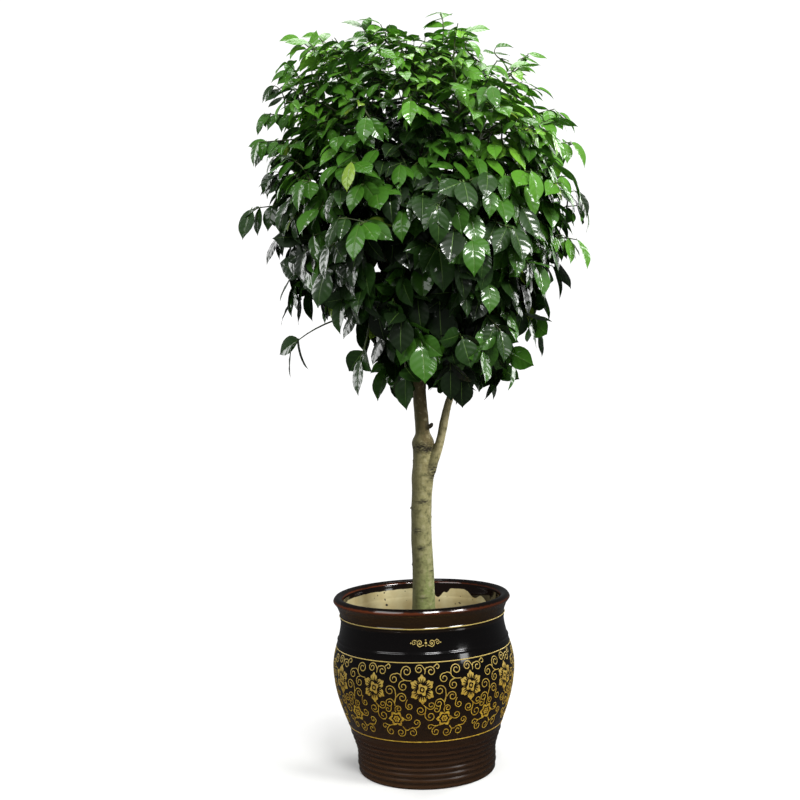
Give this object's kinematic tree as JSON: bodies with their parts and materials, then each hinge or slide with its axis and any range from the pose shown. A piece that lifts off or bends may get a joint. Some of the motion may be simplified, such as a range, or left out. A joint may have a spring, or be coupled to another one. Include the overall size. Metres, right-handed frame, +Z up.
{
  "type": "potted china doll plant",
  "caption": "Indoor tree with a bare trunk, a forked stem and a round crown of glossy compound leaves, in a tall dark glazed pot with a ribbed foot",
  "frame": {"origin": "middle of the flat underside of the pot, on the surface that the pot stands on", "axes": "+Z up, -Y toward the front of the plant as pictured, +X to the viewer's right, the side the second stem leans to"},
  "size_m": [0.7483, 0.7145, 1.6026],
  "materials": {
    "dark_glaze": "dark brown glaze over stoneware, glossy",
    "potting_soil": "moist potting soil, matte",
    "bark": "smooth olive to grey bark with leaf scars, matte",
    "leaf": "waxy dark green leaves, glossy"
  },
  "bodies": {
    "root": {"bough_lower_1": "bark", "bough_lower_2": "bark", "bough_lower_3": "bark", "bough_lower_4": "bark", "bough_middle_2": "bark", "bough_middle_3": "bark", "bough_middle_4": "bark", "bough_middle_5": "bark", "bough_upper_1": "bark", "bough_upper_2": "bark", "bough_upper_3": "bark", "bough_upper_4": "bark", "foliage_lower_1": "leaf", "foliage_lower_2": "leaf", "foliage_lower_3": "leaf", "foliage_lower_4": "leaf", "foliage_middle_1": "leaf", "foliage_middle_2": "leaf", "foliage_middle_3": "leaf", "foliage_middle_4": "leaf", "foliage_middle_5": "leaf", "foliage_top": "leaf", "foliage_upper_1": "leaf", "foliage_upper_2": "leaf", "foliage_upper_3": "leaf", "foliage_upper_4": "leaf", "pot": "dark_glaze", "right_stem": "bark", "soil": "potting_soil", "trunk": "bark"}
  },
  "joints": []
}
